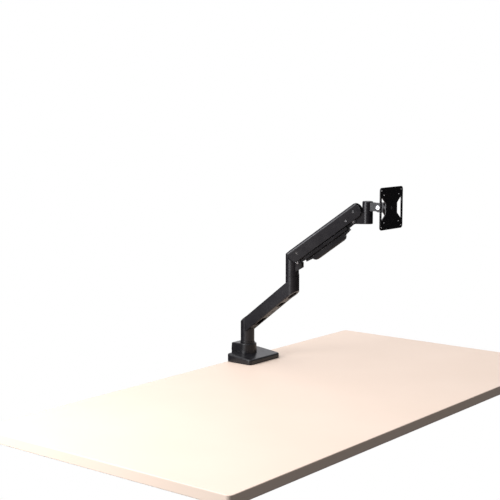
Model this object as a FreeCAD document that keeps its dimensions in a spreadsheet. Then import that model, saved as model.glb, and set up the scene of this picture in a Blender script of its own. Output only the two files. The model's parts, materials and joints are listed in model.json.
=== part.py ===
import FreeCAD, Part
import math
import os
import re

import Sketcher
from FreeCAD import Placement, Rotation, Vector

# Gas-spring desk-clamp monitor arm.
# Origin: the column's axis on the desk-top plane. +Z up, -Y towards the user, +X to the user's right.
# Stored pose: lower arm towards -Y, upper arm raised, screen plate upright and facing -Y.

SIZES = {
    # base plate, its pad and the column cover
    "plate_half": 71, "plate_front": 67.5, "plate_rear": 22, "plate_corner": 10, "plate_edge": 4.5,
    "plate_low": 2, "plate_top": 25, "plate_drop": 10, "pad_inset": 2.5, "recess_wall": 9,
    "recess_depth": 9, "boss_r": 28, "boss_rear": 40, "boss_top": 48.5, "boss_taper": -3,
    "boss_wall": 2.6, "boss_edge": 2.4, "boss_draft": 1.3, "skirt_low": 2,
    "skirt_in": 0.6, "collar_r": 21.4, "collar_top": 54,
    # desk clamp
    "steel": 4, "leg_face": 24.5, "bracket_half": 20, "flange_front": 14, "jaw_drop": 72,
    "jaw_front": 34, "clamp_y": -12, "desk_gap": 25, "bend_r": 5.5, "thread_r": 5, "nut_r": 9,
    "nut_long": 16, "pad_r": 22, "pad_steel": 3, "pad_rubber": 3, "cup_r": 9, "cup_long": 7,
    "screw_end": 124, "head_r": 8.5, "head_long": 14, "bar_r": 2.5, "bar_half": 38, "knob_r": 5,
    "knob_long": 9, "m5_r": 2.5, "m5_head": 4.5, "m5_head_long": 2.6, "m5_x": 14.8, "m5_y_rear": 15,
    "m5_y_front": 7.2,
    # column
    "post_r": 11, "post_top": 98, "post_root": 6, "bush_wall": 2.5, "neck_r": 20.2, "neck_low": 55,
    "bush_long": 12, "run": 0.05, "groove_z": 72, "groove_half": 3.2, "groove_deep": 1.2, "lock_r": 3,
    # lower arm
    "lower_reach": 164, "lower_tilt": 38, "lower_mid": 101.1, "lower_deep": 35.8, "lower_half": 19.6,
    "long_edge": 2.5, "elbow_r": 19.6, "elbow_top": 262, "elbow_drop": 0.8,
    "duct_half": 14, "duct_start": 27, "duct_end": 138, "duct_skin": 4, "cover_thick": 2.5,
    "slot_half": 11, "slot_a": 33, "slot_b": 65, "slot_c": 114, "slot_d": 132, "cover_hole": 92,
    # elbow
    "shaft_r": 8, "elbow_bore": 11, "shaft_top": 291, "shaft_low": 225, "gap": 1.4, "cap_r": 13,
    "cap_z": 216.5, "cap_thick": 2.5, "cap_bore_top": 226,
    "knuckle_turn": -66.7, "pin_out": 15.3, "pin_high": 330.5, "low_pin_out": 1.2, "low_pin_drop": 27.5,
    "lift": 37, "link_long": 200, "tongue_half": 15.4, "ear_in": 8, "link_slot": 12.3, "eye_r": 13.3,
    "low_eye_r": 8.5, "link_room": 9.8, "lug_rear": 10.2, "lug_front": 29.4, "stop_back": 24,
    "lug_low": 276, "lug_rise": 10,
    "crown": 17, "crown_edge": 4, "roof_sweep": 24.2, "cheek_sweep": 28.2, "slot_floor": 296.2,
    "slot_back": 6, "eye_edge": 1.2,
    "pin_r": 3.5, "stub_r": 2.5, "stub_head": 4.4, "stub_deep": 1.5,
    # gas spring and its tension screw
    "screw_back": 20.4, "trunnion_down": 10.4, "screw_r": 3, "screw_head": 4, "access_r": 4.3,
    "screw_head_top": 12, "screw_head_low": 6, "screw_tip": 20, "block": 10, "trunnion_r": 2.5,
    "fork_r": 8.2, "fork_bore": 6, "fork_gap": 5.3, "fork_out": 7.4, "rod_r": 3,
    "rod_end": 90, "tube_r": 9, "tube_wall": 1.4, "tube_start": 62, "tube_end": 172, "front_pin_x": 168,
    "front_pin_down": 9, "gland_long": 8, "piston_long": 8, "front_eye_r": 7, "front_eye_half": 5,
    # upper arm
    "shell_half": 19.2, "shell_wall": 2.6, "shell_top": 17.5, "shell_low": 19.8, "shell_front": 22,
    "shell_rear": 26.2, "roof_back": 16,
    "shell_edge": 7.5, "shell_inner_edge": 3, "bush_r": 5.5, "flange_r": 7.5,
    "link_half": 12, "link_wall": 1.5, "link_belly": 16.1, "belly_up": 0.2, "link_up": 5.7, "link_down": 8,
    "link_end": 7, "web_start": 22, "belly_start": 25, "tray_lead": 24, "tray_nose": 43.6,
    "tray_half": 13, "tray_neck": 10, "tray_top": 11.3, "tray_deep": 27.7, "tray_tail": 14.2,
    "tray_step": 17.6, "tray_wall": 2.2, "tray_edge": 5,
    # head
    "web_half": 13.5, "barrel_out": 38.5, "barrel_r": 15, "barrel_top": 3, "barrel_low": 34, "swivel_r": 8,
    "swivel_bush": 10.5, "bracket_top": 480, "tilt_z": 465, "tilt_out": 44, "tilt_r": 13.5,
    "tilt_core": 8, "tilt_washer": 0.8, "cheek_wall": 5, "tilt_bolt_r": 4, "tilt_head_r": 6.5,
    "hub_back": 63, "disc_r": 25, "disc_thick": 4, "washer_thick": 1.2, "vesa_face": 77.5,
    "vesa_half": 58, "vesa_thick": 2.5, "vesa_corner": 9, "vesa_wide": 50, "vesa_small": 37.5,
    "vesa_hole": 2.5, "hub_r": 23, "centre_r": 4, "centre_head": 8,
}

doc = FreeCAD.newDocument("MonitorArm")
sheet = doc.addObject("Spreadsheet::Sheet", "Sizes")
for row, (alias, value) in enumerate(SIZES.items(), start=1):
    sheet.set(f"A{row}", alias)
    sheet.set(f"B{row}", str(value))
    sheet.setAlias(f"B{row}", alias)
doc.recompute()

made = []


def expr(text):
    """A formula with each size's name pointed at its cell."""
    return re.sub(r"[a-z][a-z_0-9]*", lambda m: f"Sizes.{m[0]}" if m[0] in SIZES else m[0], str(text))


def size(text):
    """The number that a formula gives now."""
    return float(sheet.evalExpression(expr(text).replace("Sizes.", "")))


# ---------------------------------------------------------------- frames
def turned_z(angle):
    return Rotation(Vector(0, 0, 1), angle)


LOWER = Placement(Vector(), turned_z(-90))
KNUCKLE = Placement(Vector(0, -size("lower_reach"), 0), turned_z(size("knuckle_turn")))
RAISED = Rotation(Vector(0, 1, 0), -size("lift"))
ALONG_X = Rotation(Vector(0, 1, 0), 90)
ALONG_Y = Rotation(Vector(1, 0, 0), -90)
FLIPPED = Rotation(Vector(1, 0, 0), 180)


def at(frame, x=0.0, y=0.0, z=0.0, turn=Rotation()):
    """A place in a frame, turned about its own origin."""
    return frame * Placement(Vector(x, y, z), turn)


ARM = at(KNUCKLE, size("pin_out"), 0, size("pin_high"), RAISED)
LINK = at(KNUCKLE, size("pin_out + low_pin_out"), 0, size("pin_high - low_pin_drop"), RAISED)
HEAD_X = size("pin_out + link_long * cos(lift * 1deg)")
HEAD_Z = size("pin_high + link_long * sin(lift * 1deg)")
HEAD = at(KNUCKLE, HEAD_X, 0, HEAD_Z)
SWIVEL = Placement(HEAD.multVec(Vector(size("barrel_out"), 0, -HEAD_Z)), turned_z(-90))


# ---------------------------------------------------------------- drawing helpers
def new_body(name, frame):
    body = doc.addObject("PartDesign::Body", name)
    body.Label = name
    body.Placement = frame
    made.append(body)
    return body


def new_sketch(body, role, lift=None):
    """An empty sketch on one of the body's origin planes, raised along its normal."""
    sketch = body.newObject("Sketcher::SketchObject", body.Name + "_sketch")
    plane = [item for item in body.Origin.OriginFeatures if item.Role == role][0]
    sketch.AttachmentSupport = (plane, [""])
    sketch.MapMode = "FlatFace"
    if lift is not None:
        sketch.setExpression("AttachmentOffset.Base.z", expr(lift))
    return sketch


def drive(sketch, kind, geometry, point, formula):
    """Ties one coordinate of a sketch point to a formula, measured from the sketch's origin."""
    index = sketch.addConstraint(Sketcher.Constraint(kind, -1, 1, geometry, point, size(formula)))
    sketch.setExpression(f"Constraints[{index}]", expr(formula))


def outline(sketch, points):
    """A closed outline of straight runs through points given as pairs of formulas."""
    spots = [Vector(size(x), size(y), 0) for x, y in points]
    count = len(points)
    lines = [sketch.addGeometry(Part.LineSegment(spots[i], spots[(i + 1) % count]), False)
             for i in range(count)]
    for i, line in enumerate(lines):
        sketch.addConstraint(Sketcher.Constraint("Coincident", line, 2, lines[(i + 1) % count], 1))
    for line, (x, y) in zip(lines, points):
        drive(sketch, "DistanceX", line, 1, x)
        drive(sketch, "DistanceY", line, 1, y)


def rectangle(sketch, x0, y0, x1, y1):
    outline(sketch, [(x0, y0), (x1, y0), (x1, y1), (x0, y1)])


def circle(sketch, x, y, radius):
    ring = sketch.addGeometry(Part.Circle(Vector(size(x), size(y), 0), Vector(0, 0, 1), size(radius)), False)
    index = sketch.addConstraint(Sketcher.Constraint("Radius", ring, size(radius)))
    sketch.setExpression(f"Constraints[{index}]", expr(radius))
    drive(sketch, "DistanceX", ring, 3, x)
    drive(sketch, "DistanceY", ring, 3, y)


def pad(body, sketch, length, symmetric=False, back=False):
    feature = body.newObject("PartDesign::Pad", body.Name + "_pad")
    feature.Profile = sketch
    feature.SideType = "Symmetric" if symmetric else "One side"
    feature.Reversed = back
    feature.setExpression("Length", expr(length))
    doc.recompute()
    return feature


def pocket(body, sketch, length, symmetric=True, back=False):
    """A cut of the given length; it has to take material away."""
    before = body.Shape.Volume
    feature = body.newObject("PartDesign::Pocket", body.Name + "_pocket")
    feature.Profile = sketch
    feature.SideType = "Symmetric" if symmetric else "One side"
    feature.Reversed = back
    feature.setExpression("Length", expr(length))
    doc.recompute()
    if body.Shape.Volume > before - 0.5:
        raise RuntimeError(f"{feature.Name} cuts nothing")
    return feature


def revolve(body, points):
    """Turns a half outline of (radius, height) formulas about the body's Z axis."""
    sketch = new_sketch(body, "XZ_Plane")
    outline(sketch, points)
    feature = body.newObject("PartDesign::Revolution", body.Name + "_turning")
    feature.Profile = sketch
    feature.ReferenceAxis = (sketch, ["V_Axis"])
    feature.Angle = 360
    doc.recompute()
    return feature


def turned(name, frame, points):
    """A turned piece: its half outline about its own Z axis."""
    body = new_body(name, frame)
    revolve(body, points)
    return body


def ring(name, frame, inner, outer, low, high):
    return turned(name, frame, [(inner, low), (outer, low), (outer, high), (inner, high)])


def round_edges(body, radius, chosen, kind="Fillet"):
    """Fillets or chamfers the edges that the test picks."""
    tip = body.Tip
    names = [f"Edge{i}" for i, edge in enumerate(tip.Shape.Edges, start=1) if chosen(edge)]
    if not names:
        raise RuntimeError(f"{body.Name}: no edge to round")
    feature = body.newObject("PartDesign::" + kind, body.Name + "_edges")
    feature.Base = (tip, names)
    feature.setExpression("Radius" if kind == "Fillet" else "Size", expr(radius))
    doc.recompute()
    if feature.State and ("Invalid" in feature.State or "Error" in feature.State):
        raise RuntimeError(f"{body.Name}: rounding of {len(names)} edges failed")
    return feature


def is_line(edge):
    return edge.Curve.TypeId == "Part::GeomLine"


def runs_along(edge, axis):
    """A straight edge parallel to one of the axes, 0 to 2."""
    if not is_line(edge):
        return False
    way = edge.Curve.Direction
    return abs(abs(way[axis]) - 1) < 1e-6


def near(value, target, margin=0.05):
    return abs(value - target) < margin


def at_height(edge, height):
    box = edge.BoundBox
    return near(box.ZMin, height) and near(box.ZMax, height)


def screw_profile(shank, length, head, head_long):
    """Half outline of a screw: its head above z = 0 and its shank below."""
    return [(0, f"-({length})"), (shank, f"-({length})"), (shank, 0), (head, 0), (head, head_long),
            (0, head_long)]


def hex_socket(body, across, top, depth):
    """A hexagonal key socket sunk from the body's top face."""
    sketch = new_sketch(body, "XY_Plane", top)
    corners = [(f"({across}) / sqrt(3) * cos({60 * i}deg)", f"({across}) / sqrt(3) * sin({60 * i}deg)")
               for i in range(6)]
    outline(sketch, corners)
    pocket(body, sketch, depth, symmetric=False)


def group(name, pieces):
    """Identical fasteners as one node of separate solids."""
    for piece in pieces:
        made.remove(piece)
    joined = doc.addObject("Part::Compound", name)
    joined.Label = name
    joined.Links = pieces
    doc.recompute()
    made.append(joined)
    return joined


def repeated(name, places, build):
    """The same piece built at each place, joined into one node."""
    return group(name, [build(f"{name}_{i}", place) for i, place in enumerate(places)])


def slant(along, up):
    """A point given along and square to the raised arm, in the knuckle's upright axes."""
    return (f"pin_out + ({along}) * cos(lift * 1deg) - ({up}) * sin(lift * 1deg)",
            f"pin_high + ({along}) * sin(lift * 1deg) + ({up}) * cos(lift * 1deg)")


# ---------------------------------------------------------------- base
def slope_height(y):
    """Height of the plate's sloping top at a distance along Y."""
    return f"plate_top - plate_drop * (plate_rear - ({y})) / (plate_rear + plate_front)"


def cut_above_slope(body):
    """Removes what stands above the plate's sloping top."""
    sketch = new_sketch(body, "YZ_Plane")
    front = "-plate_front - 5"
    rear = "plate_rear + 5"
    outline(sketch, [(front, slope_height(front)), (rear, slope_height(rear)), (rear, "plate_top + 20"),
                     (front, "plate_top + 20")])
    pocket(body, sketch, "plate_half * 3")


def cut_below_slope(body):
    """Removes what would sink into the plate's sloping top."""
    sketch = new_sketch(body, "YZ_Plane")
    front = "-plate_front - 5"
    rear = "boss_rear + 5"
    outline(sketch, [(front, slope_height(front)), (rear, slope_height(rear)), (rear, 0), (front, 0)])
    pocket(body, sketch, "plate_half * 3")


def base_plate():
    body = new_body("base_plate", Placement())
    sketch = new_sketch(body, "XY_Plane", "plate_low")
    rectangle(sketch, "-plate_half", "-plate_front", "plate_half", "plate_rear")
    pad(body, sketch, "plate_top - plate_low")
    round_edges(body, "plate_corner", lambda edge: runs_along(edge, 2))
    cut_above_slope(body)
    low_top = size("plate_top - plate_drop") - 0.5
    round_edges(body, "plate_edge", lambda edge: edge.BoundBox.ZMin > low_top)
    seat = new_sketch(body, "XY_Plane", "plate_low")
    rectangle(seat, "-bracket_half + 1", "-flange_front + 1", "bracket_half - 1", "plate_rear - 1")
    pad(body, seat, "plate_top - plate_low")
    recess = new_sketch(body, "XY_Plane", "plate_low")
    rectangle(recess, "-plate_half + recess_wall", "-plate_front + recess_wall",
              "plate_half - recess_wall", "-boss_r + 8")
    pocket(body, recess, "recess_depth", symmetric=False, back=True)
    well = new_sketch(body, "XY_Plane", "post_root")
    circle(well, 0, 0, "post_r")
    pocket(body, well, "plate_top * 2", symmetric=False, back=True)
    taps = new_sketch(body, "XY_Plane", "plate_top")
    for x, y in bracket_screw_spots():
        circle(taps, x, y, "m5_r")
    pocket(body, taps, "plate_top * 0.6", symmetric=False)
    return body


def bracket_screw_spots():
    return [(f"{side} * m5_x", y) for side in (-1, 1) for y in ("m5_y_rear", "-m5_y_front")]


def base_pad():
    body = new_body("base_pad", Placement())
    sketch = new_sketch(body, "XY_Plane")
    rectangle(sketch, "-plate_half + pad_inset", "-plate_front + pad_inset", "plate_half - pad_inset",
              "plate_rear - pad_inset")
    pad(body, sketch, "plate_low")
    round_edges(body, "plate_corner - pad_inset", lambda edge: runs_along(edge, 2))
    return body


def dee(sketch, radius, rear):
    """A D in plan: a half circle in front and straight sides back to the rear wall."""
    r = size(radius)
    y = size(rear)
    arc = sketch.addGeometry(Part.ArcOfCircle(Part.Circle(Vector(), Vector(0, 0, 1), r), math.pi,
                                              2 * math.pi), False)
    right = sketch.addGeometry(Part.LineSegment(Vector(r, 0, 0), Vector(r, y, 0)), False)
    back = sketch.addGeometry(Part.LineSegment(Vector(r, y, 0), Vector(-r, y, 0)), False)
    left = sketch.addGeometry(Part.LineSegment(Vector(-r, y, 0), Vector(-r, 0, 0)), False)
    for first, first_end, second, second_end in ((arc, 2, right, 1), (right, 2, back, 1),
                                                 (back, 2, left, 1), (left, 2, arc, 1)):
        sketch.addConstraint(Sketcher.Constraint("Coincident", first, first_end, second, second_end))
    sketch.addConstraint(Sketcher.Constraint("Coincident", arc, 3, -1, 1))
    index = sketch.addConstraint(Sketcher.Constraint("Radius", arc, r))
    sketch.setExpression(f"Constraints[{index}]", expr(radius))
    sketch.addConstraint(Sketcher.Constraint("Horizontal", back))
    sketch.addConstraint(Sketcher.Constraint("Vertical", left))
    sketch.addConstraint(Sketcher.Constraint("Vertical", right))
    sketch.addConstraint(Sketcher.Constraint("PointOnObject", arc, 1, -1))
    drive(sketch, "DistanceY", back, 1, rear)


def column_cover():
    """The hollow D-shaped cover over the clamp's flange, overhanging the desk's rear edge."""
    body = new_body("column_cover", Placement())
    sketch = new_sketch(body, "XY_Plane", "plate_top - plate_drop")
    dee(sketch, "boss_r", "boss_rear")
    feature = pad(body, sketch, "boss_top - plate_top + plate_drop")
    feature.setExpression("TaperAngle", expr("boss_taper"))
    doc.recompute()
    top = size("boss_top")
    round_edges(body, "boss_edge", lambda edge: at_height(edge, top))
    inside = new_sketch(body, "XY_Plane", "plate_top - plate_drop")
    dee(inside, "boss_r - boss_wall - boss_draft", "boss_rear - boss_wall - boss_draft")
    pocket(body, inside, "boss_top - plate_top + plate_drop - boss_wall", symmetric=False, back=True)
    cut_below_slope(body)
    bore = new_sketch(body, "XY_Plane", "boss_top")
    circle(bore, 0, 0, "post_r + 1")
    pocket(body, bore, "boss_wall * 2", symmetric=False)
    skirt = new_sketch(body, "XY_Plane", "skirt_low")
    back = "boss_rear - skirt_in"
    side = "boss_r - skirt_in"
    front = "plate_rear + 0.5"
    wall = "boss_wall + 0.7"
    outline(skirt, [(f"-({side})", front), (f"-({side}) + {wall}", front),
                    (f"-({side}) + {wall}", f"{back} - {wall}"), (f"{side} - ({wall})", f"{back} - {wall}"),
                    (f"{side} - ({wall})", front), (side, front), (side, back), (f"-({side})", back)])
    pad(body, skirt, "plate_top + 1 - skirt_low")
    round_edges(body, 2, lambda edge: runs_along(edge, 2) and edge.BoundBox.ZMax < size("plate_top") + 2
                and near(edge.BoundBox.YMax, size(back)) and edge.BoundBox.ZLength > 5)
    return body


def clamp_bracket():
    """A bent steel strip: a flange under the cover, a leg behind the desk and a foot under it."""
    body = new_body("clamp_bracket", Placement())
    sketch = new_sketch(body, "YZ_Plane")
    outer = "leg_face + steel"
    outline(sketch, [("-flange_front", "plate_top"), ("leg_face", "plate_top"),
                     ("leg_face", "-jaw_drop"), ("-jaw_front", "-jaw_drop"),
                     ("-jaw_front", "-jaw_drop - steel"), (outer, "-jaw_drop - steel"),
                     (outer, "plate_top + steel"), ("-flange_front", "plate_top + steel")])
    pad(body, sketch, "bracket_half * 2", symmetric=True)
    outer_y = size(outer)
    inner_y = size("leg_face")
    round_edges(body, "bend_r", lambda edge: runs_along(edge, 0) and near(edge.BoundBox.YMin, outer_y))
    low = -size("jaw_drop")
    round_edges(body, "bend_r - steel", lambda edge: runs_along(edge, 0)
                and near(edge.BoundBox.YMin, inner_y) and near(edge.BoundBox.ZMin, low))
    ends = (-size("flange_front"), -size("jaw_front"))
    round_edges(body, "bend_r", lambda edge: runs_along(edge, 2)
                and any(near(edge.BoundBox.YMin, end) for end in ends))
    holes = new_sketch(body, "XY_Plane", "plate_top")
    circle(holes, 0, 0, "post_r + 0.2")
    for x, y in bracket_screw_spots():
        circle(holes, x, y, "m5_r + 0.3")
    pocket(body, holes, "steel * 3")
    seat = new_sketch(body, "XY_Plane", "-jaw_drop")
    circle(seat, 0, "clamp_y", "nut_r - 2")
    pocket(body, seat, "steel * 3")
    return body


def bracket_screws():
    places = [Placement(Vector(size(x), size(y), size("plate_top + steel")), Rotation())
              for x, y in bracket_screw_spots()]

    def build(name, place):
        body = turned(name, place, screw_profile("m5_r", "steel + 11", "m5_head", "m5_head_long"))
        hex_socket(body, 4, "m5_head_long", 1.6)
        return body
    return repeated("bracket_screws", places, build)


CLAMP = Placement(Vector(0, size("clamp_y"), 0), Rotation())


def clamp_parts():
    """Everything on the clamp's screw axis, listed from the desk downwards."""
    top = "-desk_gap - pad_rubber"
    low = f"{top} - pad_steel"
    ring("clamp_pad_rubber", CLAMP, 0, "pad_r - 1", top, "-desk_gap")
    cup = f"{low} - cup_long"
    turned("clamp_pad", CLAMP, [(0, low + " - 1"), ("thread_r - 0.9", low + " - 1"),
                                ("thread_r - 0.9", cup), ("cup_r", cup), ("cup_r", low),
                                ("pad_r", low), ("pad_r", top), (0, top)])
    ring("clamp_nut", CLAMP, "thread_r + run", "nut_r - 2", "-jaw_drop - steel - nut_long", "-jaw_drop")
    collar = doc.getObject("clamp_nut")
    flange = new_sketch(collar, "XY_Plane", "-jaw_drop - steel")
    circle(flange, 0, 0, "nut_r + 2")
    circle(flange, 0, 0, "thread_r + run")
    pad(collar, flange, "nut_long - 4", back=True)
    tip = f"{low} - 1.1"
    neck = f"{cup} - 1"
    head_top = "-screw_end + head_long"
    body = turned("clamp_screw", CLAMP, [
        (0, "-screw_end"), ("head_r", "-screw_end"), ("head_r", head_top), ("thread_r", head_top),
        ("thread_r", neck), ("thread_r - 1", neck), ("thread_r - 1", tip), (0, tip)])
    bore = new_sketch(body, "XZ_Plane")
    circle(bore, 0, "-screw_end + head_long / 2", "bar_r + run")
    pocket(body, bore, "head_r * 4")
    edge_z = (-size("screw_end"), size(head_top))
    round_edges(body, 1, lambda edge: any(at_height(edge, z) for z in edge_z)
                and near(edge.BoundBox.XMax, size("head_r")), "Chamfer")


BAR = Placement(Vector(0, size("clamp_y"), -size("screw_end - head_long / 2")), ALONG_Y)


def clamp_bar():
    ring("clamp_bar", BAR, 0, "bar_r", "-bar_half", "bar_half")

    def build(name, place):
        return turned(name, place, [(0, 0), ("bar_r", 0), ("bar_r", "-4"), ("knob_r - 1", "-4"),
                                    ("knob_r", "-3"), ("knob_r", "knob_long - 5"),
                                    ("knob_r - 1.5", "knob_long - 4"), (0, "knob_long - 4")])
    reach = size("bar_half")
    places = [at(BAR, 0, 0, reach), at(BAR, 0, 0, -reach, FLIPPED)]
    return repeated("clamp_bar_caps", places, build)


def column_parts():
    """The fixed post, the bushes that the lower arm turns on, and the collar below the arm."""
    top_cut = "groove_z + groove_half"
    low_cut = "groove_z - groove_half"
    turned("pivot_post", Placement(), [
        (0, "post_root"), ("post_r", "post_root"), ("post_r", low_cut),
        ("post_r - groove_deep", low_cut), ("post_r - groove_deep", top_cut), ("post_r", top_cut),
        ("post_r", "post_top - 2"), ("post_r - 2", "post_top"), (0, "post_top")])
    ring("column_collar", Placement(), "post_r + run", "collar_r", "boss_top", "collar_top")
    collar = doc.getObject("column_collar")
    top = size("collar_top")
    round_edges(collar, 1.2, lambda edge: at_height(edge, top)
                and near(edge.BoundBox.XMax, size("collar_r")))
    ring("column_washer", Placement(), "post_r + run", "neck_r - 1.5", "collar_top",
         "neck_low - 0.1")
    spans = (("neck_low + 1.5", "neck_low + 1.5 + bush_long"), ("post_top - 4 - bush_long", "post_top - 4"))
    pieces = [ring(f"column_bush_{i}", LOWER, "post_r + run", "post_r + bush_wall", low, high)
              for i, (low, high) in enumerate(spans)]
    group("column_bushes", pieces)


# ---------------------------------------------------------------- lower arm
def slab_z(x, offset):
    """Height of a plane along the lower arm, a distance square to its middle plane."""
    return f"lower_mid + ({offset}) / cos(lower_tilt * 1deg) + ({x}) * tan(lower_tilt * 1deg)"


def slab(sketch, x0, x1, low, high):
    outline(sketch, [(x0, slab_z(x0, low)), (x1, slab_z(x1, low)), (x1, slab_z(x1, high)),
                     (x0, slab_z(x0, high))])


def lower_arm():
    body = new_body("lower_arm", LOWER)
    side = new_sketch(body, "XZ_Plane")
    slab(side, 0, "lower_reach", "-lower_deep / 2", "lower_deep / 2")
    pad(body, side, "lower_half * 2", symmetric=True)
    slope = Vector(math.cos(math.radians(size("lower_tilt"))), 0, math.sin(math.radians(size("lower_tilt"))))
    round_edges(body, "long_edge", lambda edge: is_line(edge)
                and abs(abs(edge.Curve.Direction.dot(slope)) - 1) < 1e-6)
    neck = new_sketch(body, "XY_Plane", "neck_low")
    circle(neck, 0, 0, "neck_r")
    pad(body, neck, "lower_mid + 40 - neck_low")
    crown = new_sketch(body, "XZ_Plane")
    slab(crown, "-neck_r - 4", "neck_r + 1", "lower_deep / 2", "lower_deep / 2 + 40")
    pocket(body, crown, "neck_r * 3")
    elbow = new_sketch(body, "XY_Plane", "elbow_top - 80")
    circle(elbow, "lower_reach", 0, "elbow_r")
    pad(body, elbow, "80")
    below = new_sketch(body, "XZ_Plane")
    drop = "-lower_deep / 2 - elbow_drop * cos(lower_tilt * 1deg)"
    outline(below, [("lower_reach - 24", slab_z("lower_reach - 24", drop)),
                    ("lower_reach + 24", slab_z("lower_reach + 24", drop)),
                    ("lower_reach + 24", "elbow_top - 90"), ("lower_reach - 24", "elbow_top - 90")])
    pocket(body, below, "lower_half * 3")
    duct = new_sketch(body, "XZ_Plane")
    slab(duct, "duct_start", "duct_end", "-lower_deep", "lower_deep / 2 - duct_skin")
    pocket(body, duct, "duct_half * 2")
    column_bore = new_sketch(body, "XY_Plane", "neck_low")
    circle(column_bore, 0, 0, "post_r + bush_wall")
    pocket(body, column_bore, "post_top + 2 - neck_low", symmetric=False, back=True)
    elbow_bore = new_sketch(body, "XY_Plane", "elbow_top")
    circle(elbow_bore, "lower_reach", 0, "elbow_bore")
    pocket(body, elbow_bore, "100", symmetric=False)
    cap_bore = new_sketch(body, "XY_Plane", "cap_bore_top")
    circle(cap_bore, "lower_reach", 0, "cap_r")
    pocket(body, cap_bore, "60", symmetric=False)
    lock = new_sketch(body, "YZ_Plane")
    circle(lock, 0, "groove_z", "lock_r")
    pocket(body, lock, "neck_r * 2", symmetric=False)
    return body


def lower_arm_trim():
    """The slotted cable cover under the lower arm and the neck's lock screw."""
    body = new_body("lower_cable_cover", LOWER)
    side = new_sketch(body, "XZ_Plane")
    slab(side, "duct_start + 0.3", "duct_end - 0.3", "-lower_deep / 2 + 0.4",
         "-lower_deep / 2 + 0.4 + cover_thick")
    pad(body, side, "duct_half * 2 - 0.4", symmetric=True)
    for start, end in (("slot_a", "slot_b"), ("slot_c", "slot_d")):
        cut = new_sketch(body, "XY_Plane")
        rectangle(cut, start, "-slot_half", end, "slot_half")
        pocket(body, cut, "400", symmetric=True)
    round_edges(body, 3, lambda edge: runs_along(edge, 2)
                and abs(edge.BoundBox.YMin) < size("slot_half") + 1)
    hole = new_sketch(body, "XY_Plane")
    circle(hole, "cover_hole", 0, 3)
    pocket(body, hole, "400", symmetric=True)
    place = at(LOWER, -size("post_r - groove_deep + 0.3"), 0, size("groove_z"),
               Rotation(Vector(0, 1, 0), -90))
    grub = turned("swivel_lock_screw", place, [(0, 0), ("lock_r - 0.5", 0), ("lock_r", 0.5),
                                               ("lock_r", "neck_r - post_r + 0.4"),
                                               (0, "neck_r - post_r + 0.4")])
    hex_socket(grub, 3, "neck_r - post_r + 0.4", 3)
    spans = (("cap_bore_top", "cap_bore_top + bush_long"), ("elbow_top - bush_long", "elbow_top"))
    middle = at(LOWER, size("lower_reach"))
    pieces = [ring(f"elbow_bush_{i}", middle, "shaft_r + run", "elbow_bore", low, high)
              for i, (low, high) in enumerate(spans)]
    group("elbow_bushes", pieces)
    cap = turned("elbow_cap", middle, [(0, "cap_z"), ("cap_r - 1.4", "cap_z"), ("cap_r", "cap_z + 1.2"),
                                       ("cap_r", "cap_z + cap_thick"), (0, "cap_z + cap_thick")])
    return body, cap


# ---------------------------------------------------------------- elbow
def head_seats(body, x, z):
    """Sinks a seat for a screw head into the outer face of each ear."""
    for side in (-1, 1):
        seat = new_sketch(body, "XZ_Plane", f"{side} * (tongue_half - stub_deep)")
        circle(seat, x, z, "stub_head + 0.4")
        pocket(body, seat, "stub_deep", symmetric=False, back=side > 0)


def rim_of_eye(x, z):
    """Picks the outer rims of the round eyes about a pin's place."""
    def chosen(edge):
        if edge.Curve.TypeId != "Part::GeomCircle" or not near(edge.Curve.Radius, size("eye_r")):
            return False
        middle = edge.Curve.Center
        return near(middle.x, size(x)) and near(middle.z, size(z)) and near(abs(middle.y), size("tongue_half"))
    return chosen


LUG_MIDDLE = "lug_low + lug_rise * (stop_back - lug_rear) / (lug_front - lug_rear)"


def travel_stops():
    """Rubber blocks on the fronts of the two ears that the lower link's belly comes down to."""
    pieces = []
    top = "pin_high - low_pin_drop - 2"
    for i, side in enumerate((-1, 1)):
        piece = new_body(f"travel_stop_{i}", KNUCKLE)
        block = new_sketch(piece, "XZ_Plane", f"{side} * (link_slot + tongue_half) / 2")
        outline(block, [("stop_back", LUG_MIDDLE), ("lug_front", "lug_low + lug_rise"),
                        ("lug_front", f"{top} - 1"), ("lug_front - 1", top), ("stop_back", top)])
        pad(piece, block, "tongue_half - link_slot", symmetric=True)
        pieces.append(piece)
    group("travel_stops", pieces)


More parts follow.
